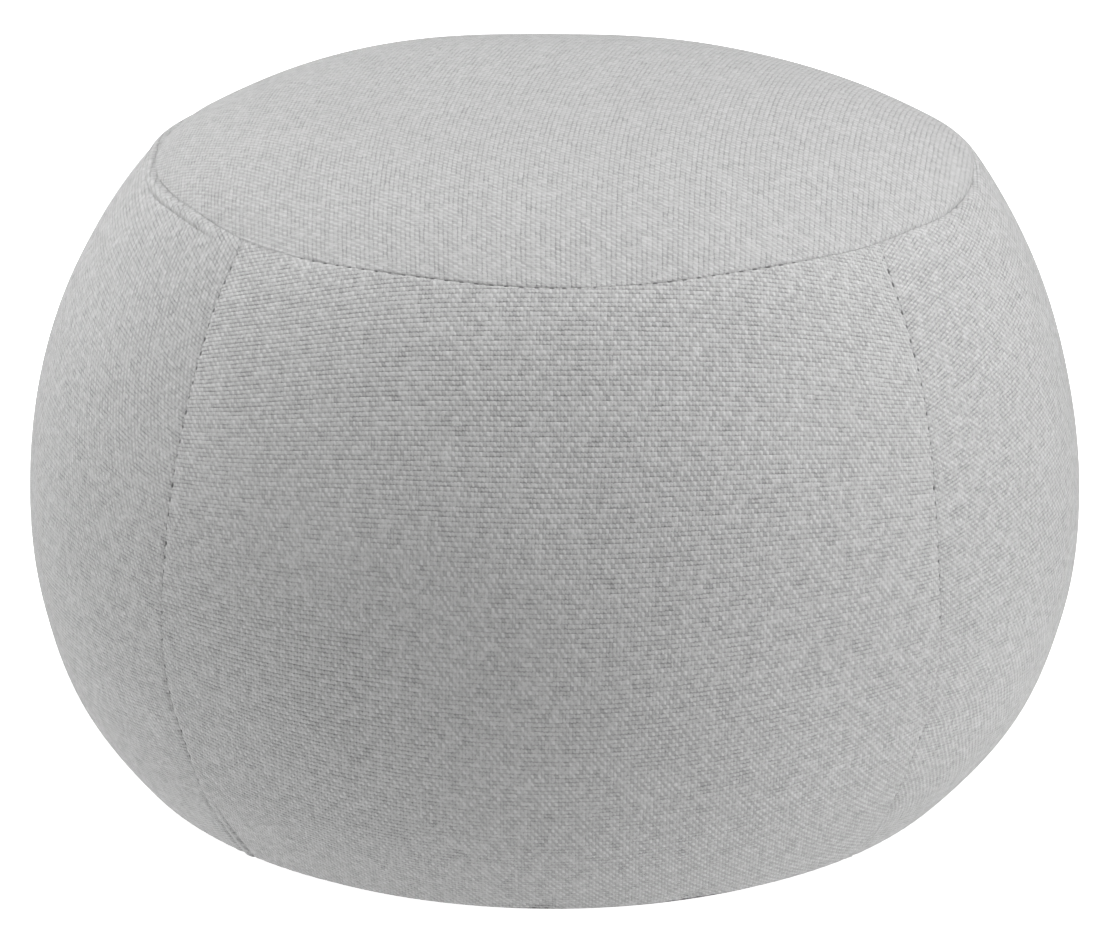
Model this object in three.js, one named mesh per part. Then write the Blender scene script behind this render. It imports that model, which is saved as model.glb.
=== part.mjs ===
// Upholstered pouf: a round, bulging floor cushion. A crowned top panel, four side panels and a flat
// base panel are sewn together along a round top seam, four upright seams and a round base seam.
// Each panel is modelled with the filling behind it, so that the solids together fill the pouf.
// Millimetres, +Z up. The origin is on the floor under the middle of the pouf, and the front faces -Y.
// Angles go around the pouf from the front, positive towards +X.

import * as THREE from 'three';

// Driving dimensions
const SEAM_HEIGHT = 348.2; // the round top seam above the floor
const SEAM_WAVE = 1.5; // the top seam rises and falls by this much
const SEAM_WAVE_COUNT = 6; // waves of the top seam around the pouf
const CROWN_RISE = 36.5; // the middle of the top panel above its seam
const CROWN_POWER = 3.57; // a higher power is flatter in the middle and rounder at the rim
const CROWN_SHIFT = -16; // the middle of the crown leans this far to the left
const SHIFT_FADE = 2; // power by which that lean grows from the rim to the middle
const WAVE_FADE = 4; // power by which the top seam's wave dies out towards the middle
const SEAM_DEPTH = 2.5; // the cloth is drawn in by this much at a seam
const SEAM_ROLL = 8; // the cloth begins to roll in this far from a seam
const DRAW_HEIGHT = 120; // seams above this height are drawn towards this point of the axis, the others level
const PIECE_GAP = 0.3; // between neighbouring panels
const BASE_THICKNESS = 2.5;
const BASE_SETBACK = 3; // the base panel's rim inside the drawn-in foot of the side panels
const BASE_EDGE = 0.8; // rounding of the base panel's rim
const CLOTH_GREY = 0xb8b8b8;
const BASE_GREY = 0x8c8c8c;
const CLOTH_ROUGHNESS = 0.95;

// Fineness of the solids
const SIDE_COLUMNS = 14;
const SIDE_ROWS = 16;
const TOP_COLUMNS = 84;
const TOP_RINGS = 11;
const ROLL_SHARES = [0, 0.3, 0.65, 1]; // where the rolled edge has its points, as shares of SEAM_ROLL

// Level sections of the sides: radius, and how far the section's middle stands to the right of the axis
const SIDE_SECTIONS = [
  { height: 0, radius: 244.8, lean: -2.8 },
  { height: 15, radius: 257.2, lean: -2.1 },
  { height: 41.8, radius: 276.0, lean: -1.2 },
  { height: 97.5, radius: 295.0, lean: 0 },
  { height: 160.2, radius: 299.9, lean: 0 },
  { height: 222.9, radius: 291.5, lean: -0.4 },
  { height: 285.5, radius: 269.1, lean: 1.1 },
  { height: 323.8, radius: 247.4, lean: 2.3 },
  { height: SEAM_HEIGHT, radius: 229.4, lean: 4.5 },
];

// Upright seams: degrees from the front to the seam on its left and on its right, mirrored at the back
const UPRIGHT_SEAMS = [
  { height: 0, left: 42.2, right: 42.8 },
  { height: 60, left: 41.8, right: 41.2 },
  { height: 115, left: 43.4, right: 42.5 },
  { height: 210, left: 43.5, right: 43.2 },
  { height: 285, left: 44.8, right: 44.8 },
  { height: SEAM_HEIGHT, left: 47.2, right: 46.0 },
];

// Where the top seam also sways up or down: degrees from the front, half the width in degrees, and the rise
const SEAM_SWAYS = [
  { middle: -62, half: 11, rise: 5.3 },
  { middle: -35, half: 13, rise: -2.3 },
  { middle: 25, half: 20, rise: 1 },
  { middle: 54, half: 8, rise: 3 },
  { middle: 79, half: 7, rise: -2.5 },
];

// A smooth curve through one column of a table, read at a height
function columnCurve(rows, column) {
  const heights = rows.map((row) => row.height);
  const values = rows.map((row) => row[column]);
  const curve = new THREE.CubicInterpolant(heights, values, 1);
  return (height) => curve.evaluate(height)[0];
}

const sideRadius = columnCurve(SIDE_SECTIONS, 'radius');
const sideLean = columnCurve(SIDE_SECTIONS, 'lean');
const leftSeam = columnCurve(UPRIGHT_SEAMS, 'left');
const rightSeam = columnCurve(UPRIGHT_SEAMS, 'right');

const RIM_RADIUS = sideRadius(SEAM_HEIGHT);
const RIM_LEAN = sideLean(SEAM_HEIGHT);
const FOOT_HEIGHT = BASE_THICKNESS + PIECE_GAP;
const FOOT_RADIUS = sideRadius(FOOT_HEIGHT) - SEAM_DEPTH;
// The drawn-in top seam lies lower than the cloth beside it
const SEAM_SINK = SEAM_DEPTH * Math.sin(Math.atan2(SEAM_HEIGHT - DRAW_HEIGHT, RIM_RADIUS));

// The side panels and the degrees at which each begins and ends, at a height
const SIDE_PANELS = [
  { name: 'side_panel_front', from: (h) => -leftSeam(h), to: (h) => rightSeam(h) },
  { name: 'side_panel_right', from: (h) => rightSeam(h), to: (h) => 180 - rightSeam(h) },
  { name: 'side_panel_back', from: (h) => 180 - rightSeam(h), to: (h) => 180 + leftSeam(h) },
  { name: 'side_panel_left', from: (h) => 180 + leftSeam(h), to: (h) => 360 - leftSeam(h) },
];

// Degrees from a direction to an angle, from -180 to 180
function turnFrom(middle, angle) {
  return THREE.MathUtils.euclideanModulo(THREE.MathUtils.radToDeg(angle) - middle + 180, 360) - 180;
}

// Height of the top seam at an angle
function topSeamHeight(angle) {
  let height = SEAM_HEIGHT - SEAM_WAVE * Math.cos(SEAM_WAVE_COUNT * angle);
  for (const sway of SEAM_SWAYS) {
    height += sway.rise * Math.exp(-((turnFrom(sway.middle, angle) / sway.half) ** 2));
  }
  return height;
}

// How deep the cloth is drawn in at a distance from the nearest seam
function rolledIn(distanceFromSeam) {
  return SEAM_DEPTH * Math.max(0, 1 - distanceFromSeam / SEAM_ROLL) ** 2;
}

// Moves a point of the cloth inwards by a depth
function drawIn(point, lean, depth) {
  const target = new THREE.Vector3(lean, 0, Math.min(point.z, DRAW_HEIGHT));
  return point.addScaledVector(target.sub(point).normalize(), depth);
}

function ringPoint(angle, radius, middle, height) {
  return new THREE.Vector3(middle + radius * Math.sin(angle), -radius * Math.cos(angle), height);
}

// A point of the side cloth: it has the section of its level, which the sway of the top seam lifts or lowers
function sidePoint(angle, level, height, depth) {
  const lean = sideLean(level);
  return drawIn(ringPoint(angle, sideRadius(level), lean, height), lean, depth);
}

// A point of the top cloth, at a share of the way from the middle to the seam
function crownPoint(angle, share) {
  const middle = THREE.MathUtils.lerp(CROWN_SHIFT, RIM_LEAN, share ** SHIFT_FADE);
  const wave = (topSeamHeight(angle) - SEAM_HEIGHT) * share ** WAVE_FADE;
  const height = SEAM_HEIGHT + PIECE_GAP / 2 + wave + CROWN_RISE * (1 - share ** CROWN_POWER);
  const point = ringPoint(angle, RIM_RADIUS * share, middle, height);
  return drawIn(point, RIM_LEAN, rolledIn(RIM_RADIUS * (1 - share)));
}

// Shares from 0 to 1 along a stretch of cloth between two seams, close together at both rolled edges
function sharesBetweenSeams(length, steps) {
  const edge = ROLL_SHARES.map((share) => (share * SEAM_ROLL) / length);
  const inset = SEAM_ROLL / length;
  const middle = Array.from({ length: steps - 1 }, (_, i) => inset + ((i + 1) / steps) * (1 - 2 * inset));
  const farEdge = edge.map((share) => 1 - share).reverse();
  return [...edge, ...middle, ...farEdge];
}

function closedSolid(points, triangles) {
  const geometry = new THREE.BufferGeometry();
  const coordinates = points.flatMap((point) => point.toArray());
  geometry.setAttribute('position', new THREE.Float32BufferAttribute(coordinates, 3));
  geometry.setIndex(triangles.flat());
  geometry.computeVertexNormals();
  return geometry;
}

// One side panel with the filling behind it, as far in as the axis: a stack of level sectors.
// Each row of points holds the sector's corner at the axis, then the cloth from seam to seam.
function sidePanelGeometry(panel) {
  const rowShares = sharesBetweenSeams(SEAM_HEIGHT - FOOT_HEIGHT, SIDE_ROWS);
  const rows = rowShares.map((share) => sideRow(panel, share));
  const rowLength = rows[0].length;
  const corner = (row) => row * rowLength;
  const cloth = (row, column) => row * rowLength + 1 + column;
  const lastRow = rows.length - 1;
  const lastColumn = rowLength - 2;
  const triangles = [];
  const quad = (a, b, c, d) => triangles.push([a, b, c], [a, c, d]);
  for (let row = 0; row < lastRow; row += 1) {
    for (let column = 0; column < lastColumn; column += 1) {
      quad(cloth(row, column), cloth(row, column + 1), cloth(row + 1, column + 1), cloth(row + 1, column));
    }
    quad(corner(row), cloth(row, 0), cloth(row + 1, 0), corner(row + 1));
    quad(corner(row), corner(row + 1), cloth(row + 1, lastColumn), cloth(row, lastColumn));
  }
  for (let column = 0; column < lastColumn; column += 1) {
    triangles.push([corner(0), cloth(0, column + 1), cloth(0, column)]);
    triangles.push([corner(lastRow), cloth(lastRow, column), cloth(lastRow, column + 1)]);
  }
  return closedSolid(rows.flat(), triangles);
}

// One level sector of a side panel: its corner at the axis, then its cloth
function sideRow(panel, rowShare) {
  const level = THREE.MathUtils.lerp(FOOT_HEIGHT, SEAM_HEIGHT, rowShare);
  const gapAngle = PIECE_GAP / 2 / sideRadius(level);
  const from = THREE.MathUtils.degToRad(panel.from(level)) + gapAngle;
  const to = THREE.MathUtils.degToRad(panel.to(level)) - gapAngle;
  const width = (to - from) * sideRadius(level);
  const cloth = sharesBetweenSeams(width, SIDE_COLUMNS).map((columnShare) => {
    const angle = THREE.MathUtils.lerp(from, to, columnShare);
    const top = topSeamHeight(angle) - PIECE_GAP / 2;
    const height = THREE.MathUtils.lerp(FOOT_HEIGHT, top, rowShare);
    const toUpright = width * Math.min(columnShare, 1 - columnShare);
    const toRound = Math.min(height - FOOT_HEIGHT, top - height);
    return sidePoint(angle, level, height, rolledIn(Math.min(toUpright, toRound)));
  });
  const cornerRadius = PIECE_GAP / 2 / Math.sin((to - from) / 2);
  const cornerTop = SEAM_HEIGHT - PIECE_GAP / 2 - SEAM_SINK;
  const cornerHeight = THREE.MathUtils.lerp(FOOT_HEIGHT, cornerTop, rowShare);
  const corner = ringPoint((from + to) / 2, cornerRadius, sideLean(level), cornerHeight);
  return [corner, ...cloth];
}

// The top panel with the filling behind it: rings of cloth from the seam to the crown, flat underneath
function topPanelGeometry() {
  const roll = ROLL_SHARES.map((share) => 1 - (share * SEAM_ROLL) / RIM_RADIUS);
  const inner = 1 - SEAM_ROLL / RIM_RADIUS;
  const crown = Array.from({ length: TOP_RINGS - 1 }, (_, i) => inner * (1 - (i + 1) / TOP_RINGS));
  const ringShares = [...roll, ...crown];
  const angles = Array.from({ length: TOP_COLUMNS }, (_, i) => (2 * Math.PI * i) / TOP_COLUMNS);
  const points = ringShares.flatMap((share) => angles.map((angle) => crownPoint(angle, share)));
  const middle = points.push(crownPoint(0, 0)) - 1;
  const underside = points.push(new THREE.Vector3(RIM_LEAN, 0, SEAM_HEIGHT + PIECE_GAP / 2 - SEAM_SINK)) - 1;
  const cloth = (ring, column) => ring * TOP_COLUMNS + (column % TOP_COLUMNS);
  const lastRing = ringShares.length - 1;
  const triangles = [];
  for (let column = 0; column < TOP_COLUMNS; column += 1) {
    for (let ring = 0; ring < lastRing; ring += 1) {
      triangles.push([cloth(ring, column), cloth(ring, column + 1), cloth(ring + 1, column + 1)]);
      triangles.push([cloth(ring, column), cloth(ring + 1, column + 1), cloth(ring + 1, column)]);
    }
    triangles.push([cloth(lastRing, column), cloth(lastRing, column + 1), middle]);
    triangles.push([underside, cloth(0, column + 1), cloth(0, column)]);
  }
  return closedSolid(points, triangles);
}

// The base panel: a flat disc of plain cloth on the floor, with a rounded rim
function basePanelGeometry() {
  const rim = FOOT_RADIUS - BASE_SETBACK;
  const outline = [
    new THREE.Vector2(0, 0),
    new THREE.Vector2(rim - BASE_EDGE, 0),
    new THREE.Vector2(rim, BASE_EDGE),
    new THREE.Vector2(rim, BASE_THICKNESS - BASE_EDGE),
    new THREE.Vector2(rim - BASE_EDGE, BASE_THICKNESS),
    new THREE.Vector2(0, BASE_THICKNESS),
  ];
  return new THREE.LatheGeometry(outline, TOP_COLUMNS);
}

function clothMaterial(colour) {
  return new THREE.MeshStandardMaterial({ color: colour, roughness: CLOTH_ROUGHNESS, metalness: 0 });
}

function namedMesh(name, geometry, colour) {
  const mesh = new THREE.Mesh(geometry, clothMaterial(colour));
  mesh.name = name;
  return mesh;
}

const pouf = new THREE.Group();
pouf.add(namedMesh('top_panel', topPanelGeometry(), CLOTH_GREY));
for (const panel of SIDE_PANELS) {
  pouf.add(namedMesh(panel.name, sidePanelGeometry(panel), CLOTH_GREY));
}
const basePanel = namedMesh('base_panel', basePanelGeometry(), BASE_GREY);
basePanel.rotation.x = Math.PI / 2; // the disc is turned about its own axis, which is laid along +Z
basePanel.position.x = sideLean(FOOT_HEIGHT);
pouf.add(basePanel);

export default pouf;
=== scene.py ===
"""Looks of the upholstered pouf: a crowned top panel, four bulging side panels and a flat base panel in
light grey woven cloth, with drawn-in seams and their stitches. Shapes are worked out in millimetres, in
the frame of the solids: +Z up, the front towards -Y, angles from the front and positive towards +X."""

import math
from collections import namedtuple

import bpy
import numpy as np
from mathutils import Matrix, Vector


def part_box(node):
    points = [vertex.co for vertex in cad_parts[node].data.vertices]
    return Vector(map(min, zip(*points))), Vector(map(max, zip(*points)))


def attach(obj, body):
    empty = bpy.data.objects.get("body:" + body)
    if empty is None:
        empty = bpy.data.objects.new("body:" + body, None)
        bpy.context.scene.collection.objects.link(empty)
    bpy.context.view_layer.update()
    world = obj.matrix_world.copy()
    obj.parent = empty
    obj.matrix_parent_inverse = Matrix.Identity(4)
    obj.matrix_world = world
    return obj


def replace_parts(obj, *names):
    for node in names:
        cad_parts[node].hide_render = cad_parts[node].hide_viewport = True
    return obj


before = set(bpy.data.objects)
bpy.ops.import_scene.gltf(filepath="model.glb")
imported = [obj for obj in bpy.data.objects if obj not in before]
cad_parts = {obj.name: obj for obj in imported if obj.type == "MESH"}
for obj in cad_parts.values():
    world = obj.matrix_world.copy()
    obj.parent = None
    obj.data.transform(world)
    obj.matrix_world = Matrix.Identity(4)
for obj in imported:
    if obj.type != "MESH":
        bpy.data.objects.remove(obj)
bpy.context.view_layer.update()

MM = 0.001

# The form of the pouf, as in its solids
SEAM_HEIGHT = 348.2
SEAM_WAVE = 1.5
SEAM_WAVE_COUNT = 6
CROWN_RISE = 36.5
CROWN_POWER = 3.57
CROWN_SHIFT = -16.0
SHIFT_FADE = 2
WAVE_FADE = 4
DRAW_HEIGHT = 120.0
PIECE_GAP = 0.3
BASE_THICKNESS = 2.5
BASE_EDGE = 0.8
BASE_SIDES = 160
FOOT_HEIGHT = BASE_THICKNESS + PIECE_GAP
AXIS_CLEARANCE = PIECE_GAP / 2 / math.sin(math.pi / 4)  # of a side panel's corner at the axis

# Level sections of the sides: height, radius, lean of the section's middle to the right
SIDE_SECTIONS = np.array((
    (0.0, 244.8, -2.8),
    (15.0, 257.2, -2.1),
    (41.8, 276.0, -1.2),
    (97.5, 295.0, 0.0),
    (160.2, 299.9, 0.0),
    (222.9, 291.5, -0.4),
    (285.5, 269.1, 1.1),
    (323.8, 247.4, 2.3),
    (SEAM_HEIGHT, 229.4, 4.5),
))
RIM_RADIUS = SIDE_SECTIONS[-1, 1]
RIM_LEAN = SIDE_SECTIONS[-1, 2]

# Upright seams: height, degrees from the front to the seam on its left, and to the one on its right
UPRIGHT_SEAMS = np.array((
    (0.0, 42.2, 42.8),
    (60.0, 41.8, 41.2),
    (115.0, 43.4, 42.5),
    (210.0, 43.5, 43.2),
    (285.0, 44.8, 44.8),
    (SEAM_HEIGHT, 47.2, 46.0),
))
SEAM_COLUMNS = {"left": 1, "right": 2}

# Where the top seam also sways up or down: degrees from the front, half the width in degrees, rise
SEAM_SWAYS = (
    (-62, 11.0, 5.3),
    (-35, 13.0, -2.3),
    (25, 20.0, 1.0),
    (54, 8.0, 3.0),
    (79, 7.0, -2.5),
)

# Seams: how far the swelling panels leave them behind, how deep they are creased, how far pits show
SEAM_GAP = 0.1
TOP_DRAW = 0.7
UPRIGHT_DRAW = 0.4
FOOT_DRAW = 0.6
TOP_CREASE = 0.9
UPRIGHT_CREASE = 0.25
FOOT_CREASE = 0.8
CREASE_WIDTH = 0.8
TOP_SHOW = 0.3
FOOT_SHOW = 0.2
TOP_BULGE = {"front": 2.8, "right": 0.2, "back": 0.2, "left": 0.2}  # fuller cloth below the top seam
BULGE_FADE = (25.0, 120.0)  # distances from a round seam between which draw and bulge fade out

# Stitches, the pits that they pull into the cloth, and the puckers beside them
STITCH_PITCH = 7.8
STITCH_LENGTH = 4.2
STITCH_END = 4.0  # upright stitches end this far below the top seam
STITCH_LOOK = 0.5  # a seam's direction is read this far on both sides of a stitch
PIT_DEPTH = 0.9
PIT_WIDTH = 2.4
PUCKER_HEIGHT = 0.06
PUCKER_REACH = 4.0
PUCKER_START = 2  # crease widths from the seam to where the puckers are full
THREAD_RADIUS = 0.55
THREAD_SIDES = 8
THREAD_RINGS = 7
THREAD_ARCH = 0.6  # rise of a stitch in the middle, in thread radii
THREAD_DIVE = 2.2  # how much deeper its ends lie
THREAD_END = 0.04  # area of its section at the ends, as a share of the middle
THREAD_SINK = 1.2  # how much deeper a stitch lies where it does not show

# How the top seam looks: degrees from the front, how far it stands open, how far its stitches show. Below
# zero, the cloth is pressed up along the seam and closes it
TOP_SEAM_LOOK = np.array((
    (-180, 0.5, 0.5),
    (-110, 0.3, 0.0),
    (-81, -0.6, 0.0),
    (-73, 0.5, 0.0),
    (-61, -0.2, 0.0),
    (-55, 0.75, 0.4),
    (-47, -0.55, 0.0),
    (-41, -0.35, 0.0),
    (-36, 0.5, 0.6),
    (-32, 0.6, 0.75),
    (-28, 0.25, 0.6),
    (-24, 0.7, 0.8),
    (-1, 0.75, 0.8),
    (8, 0.0, 0.2),
    (12, 0.9, 0.9),
    (20, 0.35, 0.55),
    (28, 1.2, 1.0),
    (34, 0.8, 0.3),
    (44, 0.45, 0.0),
    (54, 0.9, 0.0),
    (60, 0.3, 0.0),
    (70, 1.3, 0.0),
    (80, 0.3, 0.0),
    (110, 0.3, 0.0),
    (180, 0.5, 0.5),
))

# Where the cloth dips down to the top seam: degrees from the front, half the length in degrees, depth, and
# how far the dip reaches into the top panel
TOP_DIPS = (
    (-86, 34.0, 2.2, 18.0),
    (73, 23.0, 1.7, 4.0),
)
DIP_EDGE = 4.0  # how far a dip reaches into a side panel
DIP_FADE = (0.5, 1.5)  # half lengths from its middle between which a dip ends

# How far the stitches and the crease of the upright seams show: height, left seam, right seam
UPRIGHT_SHOW = np.array((
    (0, 0.1, 0.2),
    (30, 0.2, 0.2),
    (45, 0.3, 0.4),
    (60, 0.4, 0.5),
    (72, 0.8, 0.5),
    (92, 0.9, 0.5),
    (113, 0.85, 0.55),
    (150, 0.6, 0.35),
    (170, 0.6, 0.9),
    (200, 1.0, 0.8),
    (240, 0.9, 0.95),
    (255, 0.9, 0.75),
    (295, 0.8, 0.9),
    (322, 0.7, 1.0),
    (335, 0.45, 1.0),
    (SEAM_HEIGHT, 0.1, 0.1),
))
SHOW_WAVE = 67.0  # lengths of the two waves in which the show comes and goes
SHOW_SECOND_WAVE = 23.0
SHOW_UNEVEN = 0.6  # how much of it goes at most

# Soft folds along the low parts of the upright seams: height of the middle, half length, depth
UPRIGHT_FOLDS = {"left": (96.0, 26.0, 0.4), "right": (62.0, 40.0, 0.2)}

# The deeper fold of the upright seams at the foot, and how much of it each kind of seam has
FOOT_FOLD = 1.6
FOOT_FOLD_WIDTH = 1.8
FOOT_FOLD_SHARE = {"left": 1.0, "right": 0.1}
FOOT_FOLD_FADE = (15.0, 65.0)  # distances from the foot between which it fades out

# The folded edge behind the cloth, seen as a low ridge beside a seam with a fine line along its edge: its
# strength under the top seam of each panel, and beside the upright seams at the foot and higher up
ALLOWANCE_WIDTH = 7.2
ALLOWANCE_HEIGHT = 0.35
ALLOWANCE_RISE = 2.5  # crease widths from the seam to where the ridge is full
ALLOWANCE_SLOPE = 0.7
ALLOWANCE_LINE = 0.45
ALLOWANCE_LINE_WIDTH = 0.9
TOP_ALLOWANCE = {"front": 0.15, "right": 0.2, "back": 0.4, "left": 2.4}
RIDGE_START = (15.0, 50.0)  # distances from an upright seam between which the top ridge begins
FOOT_ALLOWANCE = 3.0
UPRIGHT_ALLOWANCE = 0.1
BESIDE_SHARE = {"front": 1.0, "right": 0.2, "back": 1.0, "left": 0.2}

# Short creases in the cloth just above the foot: degrees from the front, half length and depth
FOOT_PUCKERS = ((-1.0, 13.0, 3.4), (18.8, 17.0, 3.8))
FOOT_PUCKER_RISE = 4.5
FOOT_PUCKER_WIDTH = 4.0

# Simulated swell of each panel between its seams
SWELL = 1.6  # how far out a point may move
SWELL_PRESSURE = 12.0
CLOTH_STIFFNESS = 0.6
CLOTH_BENDING = 0.3
SWELL_FRAMES = 20
SWELL_CELLS = 72

# Fineness of the cloth meshes, with the distances of the points close to a seam
CLOTH_STEP = 1.9
EDGE_DISTANCES = np.array((
    0.0, 0.3, 0.6, 1.0, 1.4, 1.9, 2.6, 3.5, 4.6, 5.7, 6.4, 6.8, 7.2, 7.6, 8.0, 8.8, 10.0))
TOP_CELLS = 200
WIDEST_SHARE = 1.25  # how much wider a side panel gets than a quarter of the rim
PROFILE_STEPS = 2000

# Bake maps: where the cloth lies, the strips of a side panel's hidden faces, and the underside
BAKE_WIDTH = 0.98
BAKE_FOOT = 0.06
BAKE_HEIGHT = 0.93
BEGIN_STRIP = (0.004, 0.014)
END_STRIP = (0.018, 0.028)
FOOT_STRIP = (0.030, 0.036)
TOP_STRIP = (0.040, 0.046)
TOP_BAKE_RADIUS = 0.495
UNDERSIDE_MIDDLE = 0.065
UNDERSIDE_RADIUS = 0.06

# Soft unevenness of the filling: height, waves per metre along X, Y and Z, phase
UNEVENNESS = np.array((
    (0.16, 5.1, 3.2, 6.0, 0.4),
    (0.12, -6.3, 5.2, 4.1, 2.1),
    (0.10, 8.7, -3.9, 7.6, 4.0),
    (0.08, 3.4, 11.2, -9.3, 5.2),
))

# Threads of the weave: warp threads go up a panel and weft threads across it
WARP_PITCH = 1.77
WEFT_PITCH = 2.58
TOP_GRAIN = math.radians(8)  # turn of the weave in the top panel
WARP_HALF = 0.85  # half the width of a thread's round section, in pitches
WEFT_HALF = 0.55
WARP_THICKNESS = 0.35  # height of that section in the relief
WEFT_THICKNESS = 0.8
LIFT = 0.4  # how far a thread goes up and down at its crossings
CROSSING_BLEND = 0.2
TWIST = 0.25  # how far a thread leans from one crossing to the next
THREAD_WANDER = 0.6  # how far a thread wanders from its line
WANDER_LENGTH = 20.0
WANDER_WIDTH = 3.2
SLUB = 5.0  # length of the thick and thin stretches of yarn
YARN_THICKNESS = 0.75  # how much they change the gaps
GAP_HALF = 0.38  # where the gap beside a thread begins, in pitches from its middle
GAP_SHARPNESS = 4.0
FIBRE = 0.5  # size of the fibres
CLOUD_SCALE = 14.0  # light and dark clouds in a metre
FINE_DETAIL = 2.0
WARP_STRIDE = 5.17  # how far apart neighbouring threads are read in the noise
WEFT_STRIDE = 7.31
WARP_LAYERS = (3.5, 9.5)  # layers of the noise for the wander and for the yarn
WEFT_LAYERS = (7.5, 0.5)

# Shades and relief of the weave
YARN_CONTRAST = 0.16
FIBRE_CONTRAST = 0.7
CROSSING_CONTRAST = 0.23
CLOUD_CONTRAST = 0.04
DIAGONAL_CONTRAST = 0.09
ROW_GAP_SHADE_AND_DEPTH = 0.4  # painted shade in the gaps between threads: how dark it is, and in the rows also how deep the gaps are
# painted shade in the gaps between the warp threads
COLUMN_GAP_SHADE = 0.26
FIBRE_RELIEF = 0.3
WEAVE_RELIEF = 0.35
TOP_WEAVE = 0.8  # depth of the weave in the top panel, which is drawn tight
SHEEN = 0.06
SHEEN_ROUGHNESS = 0.5
PLAIN_ROUGHNESS = 0.95
FIBRE_SHINE = 0.2  # how much less rough the brightest fibres are
SPECULAR = 0.2
CLOTH_GREY = 0.486
TOP_GREY = 0.463  # with its fainter painted shade in the gaps it comes out as light as the rest
BASE_GREY = 0.26

# The sewing thread, twisted from plies
THREAD_GREY = 0.2
PLY_COUNT = 2
PLY_LENGTH = 2.2
PLY_CONTRAST = 0.15
PLY_RELIEF = 0.1

# The camera, found by fitting the photo's outline and seams
CAMERA_DISTANCE = 2400.0
CAMERA_ELEVATION = math.radians(21.07)
CAMERA_TARGET = (2.9, 0.0, 159.5)
CAMERA_ROLL = math.radians(0.37)
FOCAL_PIXELS = 4172.0
CAMERA_NEAR = 0.05  # metres
CAMERA_FAR = 100
PHOTO_WIDTH = 1120.0
SENSOR_WIDTH = 36.0

# Area lights, all aimed at the pouf: name, place in metres, width and height in metres, watts
LIGHTS = (
    ("top_light", (-0.15, 0.0, 2.6), 1.0, 1.0, 47.5),
    ("left_top_light", (-1.2, 1.3, 2.3), 1.2, 1.2, 14.0),
    ("right_high_light", (2.0, -0.6, 1.9), 1.4, 1.4, 12.6),
    ("right_front_light", (1.9, -1.5, 0.9), 1.2, 0.8, 18.5),
    ("right_low_light", (2.4, -0.5, 0.25), 1.2, 0.6, 17.8),
    ("left_low_light", (-2.4, -0.5, 0.25), 1.2, 0.6, 27.0),
    ("left_back_light", (-2.2, 0.6, 0.5), 1.2, 0.6, 6.5),
)
LIGHT_TARGET = (0.0, 0.0, 0.2)

# Soft light from below, as a white floor throws it up, and from behind: the direction that it comes from,
# and its strength there
SOFT_LIGHT = (
    ((0.0, 0.0, -1.0), 0.586),
    ((0.6, -0.6, -0.53), 0.587),
    ((-0.75, 0.0, -0.66), 0.395),
    ((0.0, 1.0, 0.0), 0.15),
)

# The floor, in metres, lies just below the base, so that the two don't lie in one plane
FLOOR_LEVEL = -0.0003
FLOOR_HALF = 20
FLOOR_GREY = 0.85
FLOOR_GLOW = 0.85


# Curves and grids
def smooth_curve(at, knots, values):
    """A smooth curve through values at knots, read at each place in at. Values may have further axes."""
    slopes = np.gradient(values, knots, axis=0, edge_order=2)
    cell = np.clip(np.searchsorted(knots, at) - 1, 0, len(knots) - 2)
    width = knots[cell + 1] - knots[cell]
    t = (at - knots[cell]) / width
    extra = (1,) * (values.ndim - 1)
    t = t.reshape(t.shape + extra)
    width = width.reshape(width.shape + extra)
    low = values[cell] * (1 + 2 * t) * (1 - t) ** 2 + slopes[cell] * width * t * (1 - t) ** 2
    high = values[cell + 1] * t ** 2 * (3 - 2 * t) - slopes[cell + 1] * width * t ** 2 * (1 - t)
    return low + high


def column_curve(table, column):
    """A smooth curve through one column of a table, to be read at heights."""
    return lambda height: smooth_curve(height, table[:, 0], table[:, column])


def smooth_step(low, high, value):
    t = np.clip((value - low) / (high - low), 0, 1)
    return t * t * (3 - 2 * t)


def summed_steps(first, second):
    """The distance along a line to each of its points, given by two coordinates."""
    steps = np.hypot(np.diff(first), np.diff(second))
    return np.concatenate(((0.0,), np.cumsum(steps)))


def spaced(length, step_count):
    """Distances from 0 to length between two seams, close together near both."""
    inset = EDGE_DISTANCES[-1]
    middle = np.linspace(inset, length - inset, step_count + 1)[1:-1]
    return np.concatenate((EDGE_DISTANCES, middle, length - EDGE_DISTANCES[::-1]))


def grid_quads(rows, columns):
    """Faces of a grid of points whose rows go up and whose columns go right, seen from outside."""
    corner = np.arange(rows * columns).reshape(rows, columns)
    quads = np.stack((corner[:-1, :-1], corner[:-1, 1:], corner[1:, 1:], corner[1:, :-1]), -1)
    return quads.reshape(-1, 4)


# The form of the cloth
side_radius = column_curve(SIDE_SECTIONS, 1)
side_lean = column_curve(SIDE_SECTIONS, 2)
left_seam = column_curve(UPRIGHT_SEAMS, 1)
right_seam = column_curve(UPRIGHT_SEAMS, 2)

# Each side panel: its name, the turn of its first and last edge, and the kind of seam at each
SIDE_PANELS = (
    ("front", lambda h: -left_seam(h), right_seam, ("left", "right")),
    ("right", right_seam, lambda h: 180 - right_seam(h), ("right", "right")),
    ("back", lambda h: 180 - right_seam(h), lambda h: 180 + left_seam(h), ("right", "left")),
    ("left", lambda h: 180 + left_seam(h), lambda h: 360 - left_seam(h), ("left", "left")),
)

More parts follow.
